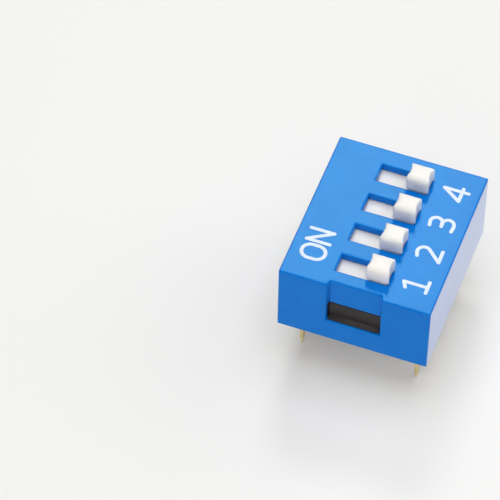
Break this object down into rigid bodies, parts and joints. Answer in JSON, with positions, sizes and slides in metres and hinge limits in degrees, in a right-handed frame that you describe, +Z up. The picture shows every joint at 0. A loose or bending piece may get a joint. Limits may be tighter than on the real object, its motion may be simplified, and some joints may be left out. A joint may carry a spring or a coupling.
{
  "type": "dip switch",
  "caption": "Low rectangular slide switch block for a circuit board, with a row of small sliding knobs in slots on top and two rows of flat solder pins below.",
  "frame": {"origin": "middle of the grid of eight terminals, on the plane of the case's bottom rim, which sits on the board", "axes": "+X along the row from position 1 to position 4, +Y from the numbers' side (OFF) to the ON side, +Z up, away from the board"},
  "size_m": [0.0116, 0.0098, 0.0103],
  "materials": {
    "case_blue": "moulded, fine satin",
    "base_black": "moulded, satin",
    "resin_black": "poured sealing resin, glossy",
    "terminal_gold": "thin gold plate on brass strip",
    "slider_white": "moulded, satin",
    "contact_gold": "gold-plated spring strip"
  },
  "bodies": {
    "housing": {"case": "case_blue", "base": "base_black", "resin_seal": "resin_black", "terminal_a1": "terminal_gold", "terminal_a2": "terminal_gold", "terminal_a3": "terminal_gold", "terminal_a4": "terminal_gold", "terminal_b1": "terminal_gold", "terminal_b2": "terminal_gold", "terminal_b3": "terminal_gold", "terminal_b4": "terminal_gold"},
    "slide_1": {"slider_1": "slider_white", "contact_1": "contact_gold"},
    "slide_2": {"slider_2": "slider_white", "contact_2": "contact_gold"},
    "slide_3": {"slider_3": "slider_white", "contact_3": "contact_gold"},
    "slide_4": {"slider_4": "slider_white", "contact_4": "contact_gold"}
  },
  "joints": [
    {"name": "position_1", "type": "slide", "parent": "housing", "child": "slide_1", "axis": [0, 1, 0], "range_m": [0, 0.00204]},
    {"name": "position_2", "type": "slide", "parent": "housing", "child": "slide_2", "axis": [0, 1, 0], "range_m": [0, 0.00204]},
    {"name": "position_3", "type": "slide", "parent": "housing", "child": "slide_3", "axis": [0, 1, 0], "range_m": [0, 0.00204]},
    {"name": "position_4", "type": "slide", "parent": "housing", "child": "slide_4", "axis": [0, 1, 0], "range_m": [0, 0.00204]}
  ]
}
